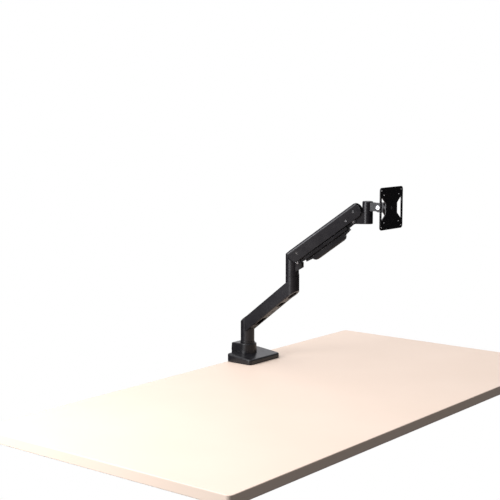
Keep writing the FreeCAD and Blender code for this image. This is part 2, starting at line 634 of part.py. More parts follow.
def knuckle():
    body = new_body("elbow_knuckle", KNUCKLE)
    column = new_sketch(body, "XY_Plane", "elbow_top + gap")
    circle(column, 0, 0, "elbow_r")
    pad(body, column, "110")
    crown = new_sketch(body, "XZ_Plane")
    outline(crown, [slant(-60, "crown"), slant(60, "crown"), slant(60, "crown + 80"),
                    slant(-60, "crown + 80")])
    pocket(body, crown, "elbow_r * 3")
    round_edges(body, "crown_edge", lambda edge: not is_line(edge)
                and edge.BoundBox.ZMax > size("elbow_top") + 5)
    roof = new_sketch(body, "XZ_Plane")
    circle(roof, "pin_out", "pin_high", "roof_sweep")
    pocket(body, roof, "elbow_r * 3")
    low_x = "pin_out + low_pin_out"
    low_z = "pin_high - low_pin_drop"
    tongue = new_sketch(body, "XZ_Plane")
    outline(tongue, [("-4", "lug_low - 2"), ("lug_rear", "lug_low"), ("stop_back", LUG_MIDDLE),
                     ("stop_back", f"{low_z} - 2"), ("lug_front - 4", f"{low_z} + 7"),
                     slant("eye_r - 0.4", 0), slant(10, 6), slant(-2, 12.5), slant("-12.4", "2"),
                     slant("-roof_sweep - 0.5", "4"), ("-4", "slot_floor")])
    pad(body, tongue, "tongue_half * 2", symmetric=True)
    eyes = new_sketch(body, "XZ_Plane")
    circle(eyes, "pin_out", "pin_high", "eye_r")
    pad(body, eyes, "tongue_half * 2", symmetric=True)
    round_edges(body, "eye_edge", rim_of_eye("pin_out", "pin_high"), "Chamfer")
    slot = new_sketch(body, "XZ_Plane")
    outline(slot, [("-slot_back", "slot_floor"), ("pin_out + 40", "slot_floor"),
                   slant(40, 30), slant("-screw_back + 4", 22), slant("-screw_back + 4", 4),
                   slant("-screw_back - 7", 4), slant("-screw_back - 9.5", "-6")])
    pocket(body, slot, "ear_in * 2")
    room = new_sketch(body, "XZ_Plane")
    circle(room, low_x, low_z, "link_room")
    pocket(body, room, "link_slot * 2")
    mouth = new_sketch(body, "XZ_Plane")
    outline(mouth, [(low_x, f"{low_z} - link_room"), (low_x, "lug_low - 8"),
                    ("lug_front + 10", "lug_low - 8"), ("lug_front + 10", f"{low_z} + 34"),
                    (f"{low_x} + 9", f"{low_z} + 18.9"), (low_x, f"{low_z} + link_room")])
    pocket(body, mouth, "link_slot * 2")
    pins = new_sketch(body, "XZ_Plane")
    circle(pins, "pin_out", "pin_high", "pin_r + run")
    circle(pins, low_x, low_z, "stub_r")
    pocket(body, pins, "elbow_r * 3")
    head_seats(body, low_x, low_z)
    shaft = new_sketch(body, "XY_Plane", "elbow_top")
    circle(shaft, 0, 0, "shaft_r")
    pocket(body, shaft, "shaft_top - elbow_top", symmetric=False, back=True)
    made.remove(body)
    body.Label = "elbow_knuckle_body"
    top = doc.addObject("Part::Cylinder", "key_hole")
    top.setExpression("Radius", expr("access_r"))
    top.setExpression("Height", expr("crown + 20 - screw_head_low"))
    top.Placement = at(ARM, -size("screw_back"), 0, size("screw_head_low"))
    shank = doc.addObject("Part::Cylinder", "screw_hole")
    shank.setExpression("Radius", expr("screw_r + 0.2"))
    shank.setExpression("Height", expr("screw_head_low + screw_tip + 8"))
    shank.Placement = at(ARM, -size("screw_back"), 0, -size("screw_tip"))
    cuts = [top, shank]
    for side in (-1, 1):
        cheek = doc.addObject("Part::Cylinder", "cheek_room")
        cheek.setExpression("Radius", expr("cheek_sweep"))
        cheek.setExpression("Height", expr("elbow_r"))
        cheek.Placement = at(KNUCKLE, size("pin_out"), side * size("tongue_half"), size("pin_high"),
                             Rotation(Vector(1, 0, 0), -90 * side))
        cuts.append(cheek)
    holes = doc.addObject("Part::MultiFuse", "knuckle_cuts")
    holes.Shapes = cuts
    cut = doc.addObject("Part::Cut", "elbow_knuckle_cut")
    cut.Label = "elbow_knuckle"
    cut.Base = body
    cut.Tool = holes
    made.append(cut)
    return cut


def elbow_hardware():
    centre = at(KNUCKLE)
    turned("elbow_shaft", centre, [(0, "shaft_low"), ("shaft_r - 1", "shaft_low"),
                                   ("shaft_r", "shaft_low + 1"), ("shaft_r", "shaft_top - 1"),
                                   ("shaft_r - 1", "shaft_top"), (0, "shaft_top")])
    ring("elbow_washer", centre, "shaft_r + run", "elbow_r - 1.6", "elbow_top + 0.1", "elbow_top + gap")
    ring("elbow_retainer", centre, 0, "elbow_bore + 1", "shaft_low - 2.5", "shaft_low")
    bolt = turned("elbow_bolt", at(centre, 0, 0, size("shaft_low - 2.5"), FLIPPED),
                  [(0, 0), (5, 0), (5, 3), (0, 3)])
    hex_socket(bolt, 5, 3, 2)


def pivot_pin(name, frame, x, z):
    """A plain pin across the arm, through the cheeks' bushes and the ears."""
    reach = "shell_half - 0.7"
    turned(name, at(frame, x, 0, z, ALONG_Y), [
        (0, f"-({reach})"), ("pin_r - 0.6", f"-({reach})"), ("pin_r", f"-({reach}) + 0.6"),
        ("pin_r", f"({reach}) - 0.6"), ("pin_r - 0.6", reach), (0, reach)])


def pivot_bushes(name, frame, x, z, inner, ear):
    """Two flanged bushes: a sleeve in each cheek and a flange that fills the gap to the ear."""
    places = [at(frame, x, 0, z, ALONG_Y), at(frame, x, 0, z, Rotation(Vector(1, 0, 0), 90))]
    wall = "shell_half - shell_wall"

    def build(piece, place):
        return turned(piece, place, [(inner, ear), ("flange_r", ear), ("flange_r", wall),
                                     ("bush_r", wall), ("bush_r", "shell_half - 0.5"),
                                     (inner, "shell_half - 0.5")])
    return repeated(name, places, build)


def stub_screws(name, frame):
    """Shoulder screws that hold the lower link's two walls to the ears."""
    places = [at(frame, 0, 0, 0, ALONG_Y), at(frame, 0, 0, 0, Rotation(Vector(1, 0, 0), 90))]

    def build(piece, place):
        seat = "tongue_half - stub_deep"
        top = "tongue_half - 0.2"
        return turned(piece, place, [(0, "link_half - link_wall"), ("stub_r", "link_half - link_wall"),
                                     ("stub_r", seat), ("stub_head", seat), ("stub_head", f"{top} - 0.5"),
                                     ("stub_head - 0.8", top), (0, top)])
    return repeated(name, places, build)


def tension_parts():
    axis = at(ARM, -size("screw_back"))
    screw = turned("tension_screw", axis, [
        (0, "-screw_tip"), ("screw_r", "-screw_tip"), ("screw_r", "screw_head_low"),
        ("screw_head", "screw_head_low"), ("screw_head", "screw_head_top"), (0, "screw_head_top")])
    hex_socket(screw, 4, "screw_head_top", 4)
    block = new_body("trunnion_block", at(axis, 0, 0, -size("trunnion_down")))
    sketch = new_sketch(block, "XY_Plane")
    rectangle(sketch, "-block / 2", "-block / 2", "block / 2", "block / 2")
    pad(block, sketch, "block", symmetric=True)
    ends = new_sketch(block, "XZ_Plane")
    circle(ends, 0, 0, "trunnion_r")
    pad(block, ends, "fork_out * 2", symmetric=True)
    bore = new_sketch(block, "XY_Plane")
    circle(bore, 0, 0, "screw_r + run")
    pocket(block, bore, "block * 2")


# ---------------------------------------------------------------- gas spring
SPRING = at(ARM, -size("screw_back"), 0, -size("trunnion_down"),
            Rotation(Vector(0, 1, 0), -math.degrees(math.atan2(
                size("trunnion_down - front_pin_down"), size("screw_back + front_pin_x")))))
SPRING_LONG = math.hypot(size("trunnion_down - front_pin_down"), size("screw_back + front_pin_x"))
SPRING_AXIS = at(SPRING, 0, 0, 0, ALONG_X)


def gas_spring():
    fork = new_body("rod_fork", SPRING)
    cheeks = new_sketch(fork, "XZ_Plane")
    circle(cheeks, 0, 0, "fork_r")
    pad(fork, cheeks, "fork_out * 2", symmetric=True)
    neck = new_sketch(fork, "XZ_Plane")
    rectangle(neck, 0, "-fork_r + 3", "fork_r + 9", "fork_r - 3")
    pad(fork, neck, "fork_out * 2", symmetric=True)
    gap = new_sketch(fork, "XZ_Plane")
    rectangle(gap, "-fork_r * 2", "-fork_r * 2", "fork_r + 2.5", "fork_r * 2")
    pocket(fork, gap, "fork_gap * 2 + 0.4")
    eye = new_sketch(fork, "XZ_Plane")
    circle(eye, 0, 0, "fork_bore")
    pocket(fork, eye, "fork_out * 3")
    ring("gas_rod", SPRING_AXIS, 0, "rod_r", "fork_r + 9", "rod_end")
    rod = doc.getObject("gas_rod")
    piston = new_sketch(rod, "XY_Plane", "rod_end")
    circle(piston, 0, 0, "tube_r - tube_wall - 0.1")
    pad(rod, piston, "piston_long")
    turned("gas_cylinder", SPRING_AXIS, [
        ("rod_r + run", "tube_start"), ("tube_r - 1", "tube_start"), ("tube_r", "tube_start + 1"),
        ("tube_r", "tube_end - 3"), ("tube_r - 2", "tube_end"), (0, "tube_end"),
        (0, "tube_end - 4"), ("tube_r - tube_wall", "tube_end - 4"),
        ("tube_r - tube_wall", "tube_start + gland_long"), ("rod_r + run", "tube_start + gland_long")])
    eye = new_body("gas_cylinder_eye", at(SPRING, SPRING_LONG))
    round_part = new_sketch(eye, "XZ_Plane")
    circle(round_part, 0, 0, "front_eye_r")
    pad(eye, round_part, "front_eye_half * 2", symmetric=True)
    stem = new_sketch(eye, "XZ_Plane")
    rectangle(stem, f"tube_end - {SPRING_LONG:.4f}", "-front_eye_half", 0, "front_eye_half")
    pad(eye, stem, "front_eye_half * 2", symmetric=True)
    hole = new_sketch(eye, "XZ_Plane")
    circle(hole, 0, 0, "pin_r + run")
    pocket(eye, hole, "front_eye_half * 4")


# ---------------------------------------------------------------- upper arm
def end_arcs(sketch, top, low, front_end, rear_end):
    """Side view of the upper shell: flat top and bottom, and ends rounded about the two pins."""
    span = size("link_long")
    ends = {}
    for name, centre, radius in (("front", span, size(front_end)), ("rear", 0, size(rear_end))):
        high = math.asin(size(top) / radius)
        deep = math.asin(size(low) / radius)
        start, stop = (-deep, high) if name == "front" else (math.pi - high, math.pi + deep)
        ends[name] = Part.ArcOfCircle(Part.Circle(Vector(centre, 0, 0), Vector(0, 0, 1), radius), start, stop)
    front = sketch.addGeometry(ends["front"], False)
    rear = sketch.addGeometry(ends["rear"], False)
    upper = sketch.addGeometry(Part.LineSegment(ends["front"].EndPoint, ends["rear"].StartPoint), False)
    lower = sketch.addGeometry(Part.LineSegment(ends["rear"].EndPoint, ends["front"].StartPoint), False)
    for first, first_end, second, second_end in ((front, 2, upper, 1), (upper, 2, rear, 1),
                                                 (rear, 2, lower, 1), (lower, 2, front, 1)):
        sketch.addConstraint(Sketcher.Constraint("Coincident", first, first_end, second, second_end))
    sketch.addConstraint(Sketcher.Constraint("Coincident", rear, 3, -1, 1))
    for arc, radius in ((front, front_end), (rear, rear_end)):
        index = sketch.addConstraint(Sketcher.Constraint("Radius", arc, size(radius)))
        sketch.setExpression(f"Constraints[{index}]", expr(radius))
    drive(sketch, "DistanceX", front, 3, "link_long")
    sketch.addConstraint(Sketcher.Constraint("PointOnObject", front, 3, -1))
    for line, height in ((upper, top), (lower, f"-({low})")):
        sketch.addConstraint(Sketcher.Constraint("Horizontal", line))
        drive(sketch, "DistanceY", line, 1, height)


def upper_shell():
    body = new_body("upper_shell", ARM)
    side = new_sketch(body, "XZ_Plane")
    end_arcs(side, "shell_top", "shell_low", "shell_front", "shell_rear")
    pad(body, side, "shell_half * 2", symmetric=True)
    top = size("shell_top")
    round_edges(body, "shell_edge", lambda edge: runs_along(edge, 0) and near(edge.BoundBox.ZMin, top))
    hollow = new_sketch(body, "YZ_Plane", "link_long / 2")
    half = "shell_half - shell_wall"
    roof = "shell_top - 3"
    corner = "shell_inner_edge"
    outline(hollow, [(f"-({half})", "-shell_low - 5"), (half, "-shell_low - 5"),
                     (half, f"{roof} - {corner}"), (f"{half} - {corner} * 0.293", f"{roof} - {corner} * 0.293"),
                     (f"{half} - {corner}", roof), (f"-({half}) + {corner}", roof),
                     (f"-({half}) + {corner} * 0.293", f"{roof} - {corner} * 0.293"),
                     (f"-({half})", f"{roof} - {corner}")])
    pocket(body, hollow, "link_long * 2")
    notch = new_sketch(body, "XZ_Plane")
    rectangle(notch, "-shell_rear - 5", "shell_top - 11", "-roof_back", "shell_top + 5")
    pocket(body, notch, f"({half}) * 2")
    bores = new_sketch(body, "XZ_Plane")
    circle(bores, 0, 0, "bush_r")
    circle(bores, "link_long", 0, "bush_r")
    circle(bores, "front_pin_x", "-front_pin_down", "pin_r")
    pocket(body, bores, "shell_half * 3")
    return body


def lower_link():
    """A steel channel under the shell: two walls joined by a web, and a wider rail outside each wall."""
    body = new_body("lower_link", LINK)
    side = new_sketch(body, "XZ_Plane")
    low = "-link_down"
    outline(side, [("-link_end + 1.5", "link_up"), ("-link_end", "link_up - 2.5"), ("-link_end", "-2.5"),
                   ("-link_end + 3.5", "-link_up - 0.8"), (2, "-link_end"), ("web_start", low),
                   ("link_long - web_start", low), ("link_long - 2", "-link_end"),
                   ("link_long + link_end - 3.5", "-link_up - 0.8"), ("link_long + link_end", "-2.5"),
                   ("link_long + link_end", "link_up - 2.5"), ("link_long + link_end - 1.5", "link_up")])
    pad(body, side, "link_half * 2", symmetric=True)
    belly = new_sketch(body, "XZ_Plane")
    rectangle(belly, "belly_start", low, "link_long - belly_start", "belly_up")
    pad(body, belly, "link_belly * 2", symmetric=True)
    inside = new_sketch(body, "XZ_Plane")
    floor = "-link_down + link_wall"
    rectangle(inside, "-link_end - 5", floor, "link_long + link_end + 5", "link_up + 5")
    pocket(body, inside, "(link_half - link_wall) * 2")
    gutters = new_sketch(body, "XY_Plane", "belly_up")
    for side_of in (-1, 1):
        rectangle(gutters, "belly_start + 2", f"{side_of} * link_half",
                  "link_long - belly_start - 2", f"{side_of} * (link_belly - link_wall)")
    pocket(body, gutters, f"belly_up - ({floor})", symmetric=False)
    holes = new_sketch(body, "XZ_Plane")
    circle(holes, 0, 0, "stub_r + run")
    circle(holes, "link_long", 0, "stub_r + run")
    pocket(body, holes, "link_half * 3")
    return body


def upper_cable_cover():
    """The trough that carries the cables under the lower link, hung from it by a narrower neck."""
    body = new_body("upper_cable_cover", LINK)
    side = new_sketch(body, "XZ_Plane")
    rear = [("tray_lead", "-tray_top"), ("tray_lead", "-tray_tail"), ("tray_nose", "-tray_step"),
            ("tray_nose + 2.4", "-22"), ("tray_nose + 6.4", "-tray_deep + 1.7"),
            ("tray_nose + 13", "-tray_deep")]
    front = [(f"link_long - ({x})", z) for x, z in reversed(rear)]
    outline(side, rear + front)
    pad(body, side, "tray_half * 2", symmetric=True)
    low = -size("tray_deep")
    round_edges(body, "tray_edge", lambda edge: is_line(edge) and at_height(edge, low)
                and edge.BoundBox.XLength > 50)
    neck = new_sketch(body, "XZ_Plane")
    rectangle(neck, "tray_lead", "-tray_top - 1", "link_long - tray_lead", "-link_down - 0.1")
    pad(body, neck, "tray_neck * 2", symmetric=True)
    trough = new_sketch(body, "XZ_Plane")
    outline(trough, [("tray_lead - 5", "-tray_top"), ("tray_nose + 4", "-tray_top"),
                     ("tray_nose + 12", "-tray_deep + tray_wall"),
                     ("link_long - tray_nose - 12", "-tray_deep + tray_wall"),
                     ("link_long - tray_nose - 4", "-tray_top"), ("link_long - tray_lead + 5", "-tray_top"),
                     ("link_long - tray_lead + 5", "0"), ("tray_lead - 5", "0")])
    pocket(body, trough, "(tray_neck - tray_wall) * 2")
    return body


# ---------------------------------------------------------------- head
def head_link():
    body = new_body("head_link", HEAD)
    low_x = "low_pin_out"
    low_z = "-low_pin_drop"
    web = new_sketch(body, "XZ_Plane")
    outline(web, [(0, "-10"), (f"{low_x} - 6", f"{low_z} + 8"), (f"{low_x} - low_eye_r", low_z),
                  (f"{low_x} - 5", f"{low_z} - 7"), ("barrel_out", "-barrel_low"),
                  ("barrel_out", "-barrel_top"), (12, "-barrel_top"), ("eye_r - 1", "-2")])
    pad(body, web, "web_half * 2", symmetric=True)
    for x, z, radius in ((0, 0, "eye_r"), (low_x, low_z, "low_eye_r")):
        eye = new_sketch(body, "XZ_Plane")
        circle(eye, x, z, radius)
        pad(body, eye, "tongue_half * 2", symmetric=True)
    round_edges(body, "eye_edge", rim_of_eye(0, 0), "Chamfer")
    barrel = new_sketch(body, "XY_Plane", "-barrel_low")
    circle(barrel, "barrel_out", 0, "barrel_r")
    pad(body, barrel, "barrel_low - barrel_top")
    low = -size("barrel_low")
    round_edges(body, 1.5, lambda edge: not is_line(edge) and at_height(edge, low)
                and edge.BoundBox.XMax > size("barrel_out") + 5)
    bore = new_sketch(body, "XY_Plane")
    circle(bore, "barrel_out", 0, "swivel_bush")
    pocket(body, bore, "100")
    pins = new_sketch(body, "XZ_Plane")
    circle(pins, 0, 0, "pin_r + run")
    circle(pins, low_x, low_z, "stub_r")
    pocket(body, pins, "tongue_half * 3")
    gap = new_sketch(body, "XZ_Plane")
    rectangle(gap, "-eye_r - 5", f"{low_z} - 20", "barrel_out - 17", "eye_r + 5")
    pocket(body, gap, "ear_in * 2")
    room = new_sketch(body, "XZ_Plane")
    circle(room, low_x, low_z, "link_room")
    pocket(body, room, "link_slot * 2")
    mouth = new_sketch(body, "XZ_Plane")
    outline(mouth, [("-eye_r - 8", f"{low_z} + 13"), ("-eye_r - 8", f"{low_z} - 20"),
                    (low_x, f"{low_z} - 20"), (low_x, f"{low_z} + link_room")])
    pocket(body, mouth, "link_slot * 2")
    head_seats(body, low_x, low_z)
    return body


BARREL = at(HEAD, size("barrel_out"))
RING_TOP = HEAD_Z - size("barrel_top")


def head_swivel_parts():
    ring("head_bush", BARREL, "swivel_r + run", "swivel_bush", "-barrel_low + 6", "-barrel_top")
    ring("head_washer", BARREL, "swivel_r + run", "barrel_r - 1", "-barrel_top + 0.1", "-barrel_top + 0.9")
    body = new_body("swivel_bracket", SWIVEL)
    base = new_sketch(body, "XY_Plane", f"{RING_TOP + 1.0:.4f}")
    circle(base, 0, 0, "barrel_r")
    pad(body, base, f"bracket_top - {RING_TOP + 1.0:.4f}")
    top = size("bracket_top")
    round_edges(body, 3, lambda edge: at_height(edge, top))
    side = new_sketch(body, "XZ_Plane")
    outline(side, [(0, "tilt_z - tilt_r + 1"), ("tilt_out", "tilt_z - tilt_r + 3"),
                   ("tilt_out", "tilt_z + tilt_r - 3"), (0, "bracket_top - 2")])
    pad(body, side, "tilt_core * 2", symmetric=True)
    core = new_sketch(body, "XZ_Plane")
    circle(core, "tilt_out", "tilt_z", "tilt_r")
    pad(body, core, "tilt_core * 2", symmetric=True)
    bolt = new_sketch(body, "XZ_Plane")
    circle(bolt, "tilt_out", "tilt_z", "tilt_bolt_r + run")
    pocket(body, bolt, "tilt_core * 4")
    socket = new_sketch(body, "XY_Plane", f"{RING_TOP + 1.0:.4f}")
    circle(socket, 0, 0, "swivel_r")
    pocket(body, socket, "14", symmetric=False, back=True)
    low = RING_TOP - size("barrel_low - barrel_top") + 6
    ring("swivel_shaft", SWIVEL, 0, "swivel_r", f"{low:.4f}", f"{RING_TOP + 15.0:.4f}")
    keeper = turned("swivel_retainer", SWIVEL, [(0, f"{low - 4:.4f}"), (4, f"{low - 4:.4f}"),
                                                (4, f"{low - 2:.4f}"), ("swivel_bush - 0.5", f"{low - 2:.4f}"),
                                                ("swivel_bush - 0.5", f"{low - 0.1:.4f}"),
                                                (0, f"{low - 0.1:.4f}")])
    return keeper


def tilt_parts():
    inner = "tilt_core + tilt_washer"
    places = [at(SWIVEL, size("tilt_out"), 0, size("tilt_z"), ALONG_Y),
              at(SWIVEL, size("tilt_out"), 0, size("tilt_z"), Rotation(Vector(1, 0, 0), 90))]

    def washer(name, place):
        return ring(name, place, "tilt_bolt_r + run", "tilt_r - 1", "tilt_core + 0.05", inner)
    repeated("tilt_washers", places, washer)
    body = new_body("tilt_bracket", SWIVEL)
    cheeks = new_sketch(body, "XZ_Plane")
    circle(cheeks, "tilt_out", "tilt_z", "tilt_r - 0.5")
    pad(body, cheeks, f"({inner} + cheek_wall) * 2", symmetric=True)
    arms = new_sketch(body, "XZ_Plane")
    rectangle(arms, "tilt_out", "tilt_z - tilt_r + 0.5", "hub_back + 1", "tilt_z + tilt_r - 0.5")
    pad(body, arms, f"({inner} + cheek_wall) * 2", symmetric=True)
    gap = new_sketch(body, "XZ_Plane")
    rectangle(gap, "tilt_out - 30", "tilt_z - 30", "tilt_out + tilt_r + 1.5", "tilt_z + 30")
    pocket(body, gap, f"({inner}) * 2")
    disc = new_sketch(body, "YZ_Plane", "hub_back")
    circle(disc, 0, "tilt_z", "disc_r")
    pad(body, disc, "disc_thick")
    front = size("hub_back")
    round_edges(body, 1.2, lambda edge: not is_line(edge) and near(edge.BoundBox.XMin, front)
                and near(edge.BoundBox.XMax, front) and edge.BoundBox.YMax > size("disc_r") - 1)
    centre = new_sketch(body, "YZ_Plane", "hub_back")
    circle(centre, 0, "tilt_z", "centre_r + run")
    pocket(body, centre, "30")
    seat = new_sketch(body, "YZ_Plane", "hub_back")
    circle(seat, 0, "tilt_z", "centre_head + 0.4")
    pocket(body, seat, "hub_back - tilt_out - tilt_r", symmetric=False)
    cross = new_sketch(body, "XZ_Plane")
    circle(cross, "tilt_out", "tilt_z", "tilt_bolt_r + run")
    pocket(body, cross, "80")
    face = f"{inner} + cheek_wall"
    bolt = turned("tilt_bolt", places[1], [
        (0, f"-({face}) - 2"), ("tilt_bolt_r", f"-({face}) - 2"), ("tilt_bolt_r", face),
        ("tilt_head_r", face), ("tilt_head_r", f"{face} + 4"), ("tilt_head_r - 1", f"{face} + 5"),
        (0, f"{face} + 5")])
    hex_socket(bolt, 5, f"{face} + 5", 3)
    nut = new_body("tilt_nut", places[0])
    sketch = new_sketch(nut, "XY_Plane", face)
    outline(sketch, [(f"13 / sqrt(3) * cos({60 * i}deg)", f"13 / sqrt(3) * sin({60 * i}deg)")
                     for i in range(6)])
    circle(sketch, 0, 0, "tilt_bolt_r")
    pad(nut, sketch, "5")


HUB = at(SWIVEL, 0, 0, size("tilt_z"), ALONG_X)


def plate_parts():
    """The turning hub, its washer and bolt, and the screen plate with its two hole patterns."""
    start = "hub_back + disc_thick"
    ring("hub_washer", HUB, "centre_r + run", "disc_r - 3", f"{start} + 0.05", f"{start} + washer_thick")
    back = "vesa_face - vesa_thick"
    ring("plate_hub", HUB, "centre_r + run", "hub_r", f"{start} + washer_thick + 0.05", back)
    body = new_body("vesa_plate", SWIVEL)
    sketch = new_sketch(body, "YZ_Plane", back)
    rectangle(sketch, "-vesa_half", "tilt_z - vesa_half", "vesa_half", "tilt_z + vesa_half")
    pad(body, sketch, "vesa_thick")
    round_edges(body, "vesa_corner", lambda edge: runs_along(edge, 0))
    holes = new_sketch(body, "YZ_Plane", back)
    for half in ("vesa_wide", "vesa_small"):
        for side in (-1, 1):
            for end in (-1, 1):
                circle(holes, f"{side} * {half}", f"tilt_z + {end} * {half}", "vesa_hole")
    circle(holes, 0, "tilt_z", "centre_r + run")
    pocket(body, holes, "vesa_thick * 4")
    windows = new_sketch(body, "YZ_Plane", back)
    for side in (-1, 1):
        outline(windows, [(f"{side} * 29", "tilt_z - 14"), (f"{side} * 50", "tilt_z - 32"),
                          (f"{side} * 50", "tilt_z + 32"), (f"{side} * 29", "tilt_z + 14")])
    pocket(body, windows, "vesa_thick * 4")
    bolt = turned("centre_bolt", at(SWIVEL, 0, 0, size("tilt_z"), Rotation(Vector(0, 1, 0), -90)), [
        (0, "-vesa_face"), ("centre_r", "-vesa_face"), ("centre_r", "-hub_back"),
        ("centre_head", "-hub_back"), ("centre_head", "-hub_back + 3"), (0, "-hub_back + 3")])
    return bolt


# ---------------------------------------------------------------- build and write
def build_all():
    base_plate()
    base_pad()
    column_cover()
    clamp_bracket()
    bracket_screws()
    clamp_parts()
    clamp_bar()
    column_parts()
    lower_arm()
    lower_arm_trim()
    knuckle()
    travel_stops()
    elbow_hardware()
    pivot_pin("elbow_pin", ARM, 0, 0)
    pivot_bushes("elbow_pin_bushes", ARM, 0, 0, "pin_r + run", "tongue_half + 0.1")
    stub_screws("elbow_link_screws", LINK)
    tension_parts()
    gas_spring()
    pivot_pin("spring_pin", ARM, size("front_pin_x"), -size("front_pin_down"))
    upper_shell()
    lower_link()
    upper_cable_cover()
    pivot_pin("head_pin", ARM, size("link_long"), 0)
    pivot_bushes("head_pin_bushes", ARM, size("link_long"), 0, "pin_r + run", "tongue_half + 0.1")
    stub_screws("head_link_screws", at(LINK, size("link_long")))
    head_link()
    head_swivel_parts()
    tilt_parts()
    plate_parts()


def write_all():
    doc.recompute()
    for item in doc.Objects:
        if "Invalid" in item.State or "Error" in item.State:
            raise RuntimeError(f"{item.Name} failed: {item.State}")
    for item in made:
        shape = item.Shape
        if shape.isNull() or not shape.isValid() or not shape.Solids:
            raise RuntimeError(f"{item.Label} has no valid solid")
    os.makedirs("parts", exist_ok=True)
    for item in made:
        item.Shape.exportStep(f"parts/{item.Label}.step")
        print(f"{item.Label:22s} solids {len(item.Shape.Solids)} volume {item.Shape.Volume:10.1f}")
    print(len(made), "nodes")


build_all()
write_all()
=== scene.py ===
import json
import math

import bpy
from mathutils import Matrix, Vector

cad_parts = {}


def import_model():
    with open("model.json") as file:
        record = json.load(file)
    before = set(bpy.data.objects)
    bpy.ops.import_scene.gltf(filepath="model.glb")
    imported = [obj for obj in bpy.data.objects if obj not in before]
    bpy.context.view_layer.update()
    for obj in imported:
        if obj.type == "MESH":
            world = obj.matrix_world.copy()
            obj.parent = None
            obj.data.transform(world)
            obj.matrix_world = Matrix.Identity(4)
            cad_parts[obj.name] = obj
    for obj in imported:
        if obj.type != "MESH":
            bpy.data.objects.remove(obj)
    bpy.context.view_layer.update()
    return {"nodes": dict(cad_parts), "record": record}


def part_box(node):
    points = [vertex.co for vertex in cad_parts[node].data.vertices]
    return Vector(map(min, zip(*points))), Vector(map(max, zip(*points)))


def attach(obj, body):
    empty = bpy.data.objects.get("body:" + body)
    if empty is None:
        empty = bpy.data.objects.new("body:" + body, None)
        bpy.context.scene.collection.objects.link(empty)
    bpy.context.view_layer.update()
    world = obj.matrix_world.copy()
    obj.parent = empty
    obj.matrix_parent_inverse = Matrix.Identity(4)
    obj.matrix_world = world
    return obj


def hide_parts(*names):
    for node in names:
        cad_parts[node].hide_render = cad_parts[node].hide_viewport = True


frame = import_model()

MM = 0.001


# ---------------------------------------------------------------- node trees
class Shader:
    """A material with one Principled surface, and short calls for the nodes that feed it."""

    def __init__(self, name, roughness, metallic=0.0, specular=0.5, sheen=0.0):
        self.material = bpy.data.materials.new(name)
        self.material.use_nodes = True
        self.tree = self.material.node_tree
        self.tree.nodes.clear()
        self.surface = self.node("ShaderNodeBsdfPrincipled")
        self.set("Roughness", roughness)
        self.set("Metallic", metallic)
        self.set("Specular IOR Level", specular)
        self.set("Sheen Weight", sheen)
        out = self.node("ShaderNodeOutputMaterial")
        self.tree.links.new(self.surface.outputs["BSDF"], out.inputs["Surface"])
        self.place = self.node("ShaderNodeTexCoord").outputs["Object"]
        self.facing = self.node("ShaderNodeNewGeometry").outputs["Normal"]

    def node(self, kind):
        return self.tree.nodes.new(kind)

    def feed(self, value, socket):
        if isinstance(value, bpy.types.NodeSocket):
            self.tree.links.new(value, socket)
        else:
            socket.default_value = value

    def set(self, name, value):
        self.feed(value, self.surface.inputs[name])

    def stretched(self, scale):
        """The surface's own coordinates, scaled apart along each axis."""
        node = self.node("ShaderNodeMapping")
        self.feed(self.place, node.inputs["Vector"])
        node.inputs["Scale"].default_value = scale
        return node.outputs["Vector"]

    def noise(self, scale, detail=3.0, roughness=0.5, place=None, distortion=0.0):
        node = self.node("ShaderNodeTexNoise")
        self.feed(place or self.place, node.inputs["Vector"])
        node.inputs["Scale"].default_value = scale
        node.inputs["Detail"].default_value = detail
        node.inputs["Roughness"].default_value = roughness
        node.inputs["Distortion"].default_value = distortion
        return node.outputs["Fac"]

    def cells(self, scale):
        node = self.node("ShaderNodeTexVoronoi")
        self.feed(self.place, node.inputs["Vector"])
        node.inputs["Scale"].default_value = scale
        return node.outputs["Distance"]

    def span(self, value, low, high, to_low=0.0, to_high=1.0):
        node = self.node("ShaderNodeMapRange")
        node.interpolation_type = "SMOOTHSTEP"
        self.feed(value, node.inputs["Value"])
        limits = {"From Min": low, "From Max": high, "To Min": to_low, "To Max": to_high}
        for name, number in limits.items():
            node.inputs[name].default_value = number
        return node.outputs["Result"]

    def calc(self, operation, a, b=0.0):
        node = self.node("ShaderNodeMath")
        node.operation = operation
        self.feed(a, node.inputs[0])
        self.feed(b, node.inputs[1])
        return node.outputs["Value"]

    def blend(self, share, a, b):
        node = self.node("ShaderNodeMix")
        node.data_type = "RGBA"
        self.feed(share, node.inputs["Factor"])
        colours = [s for s in node.inputs if s.type == "RGBA"]
        for socket, value in zip(colours, (a, b)):
            self.feed((*value, 1.0) if isinstance(value, tuple) else value, socket)
        return [s for s in node.outputs if s.type == "RGBA"][0]

    def softened(self, radius):
        """The surface's normal with its edges rounded by the radius."""
        bevel = self.node("ShaderNodeBevel")
        bevel.samples = 4
        bevel.inputs["Radius"].default_value = radius
        return bevel.outputs["Normal"]

    def edges(self, radius, low=0.90, high=0.995):
        """1 on edges within the radius, 0 on open faces."""
        dot = self.node("ShaderNodeVectorMath")
        dot.operation = "DOT_PRODUCT"
        self.feed(self.softened(radius), dot.inputs[0])
        self.feed(self.facing, dot.inputs[1])
        return self.span(dot.outputs["Value"], low, high, 1.0, 0.0)

    def upward(self, low, high):
        """1 on faces that look up."""
        split = self.node("ShaderNodeSeparateXYZ")
        self.feed(self.facing, split.inputs["Vector"])
        return self.span(split.outputs["Z"], low, high)

    def bump(self, height, distance, strength, soft):
        """Surface relief, over edges softened by a small radius."""
        node = self.node("ShaderNodeBump")
        node.inputs["Strength"].default_value = strength
        node.inputs["Distance"].default_value = distance
        self.feed(height, node.inputs["Height"])
        self.feed(self.softened(soft), node.inputs["Normal"])
        self.set("Normal", node.outputs["Normal"])


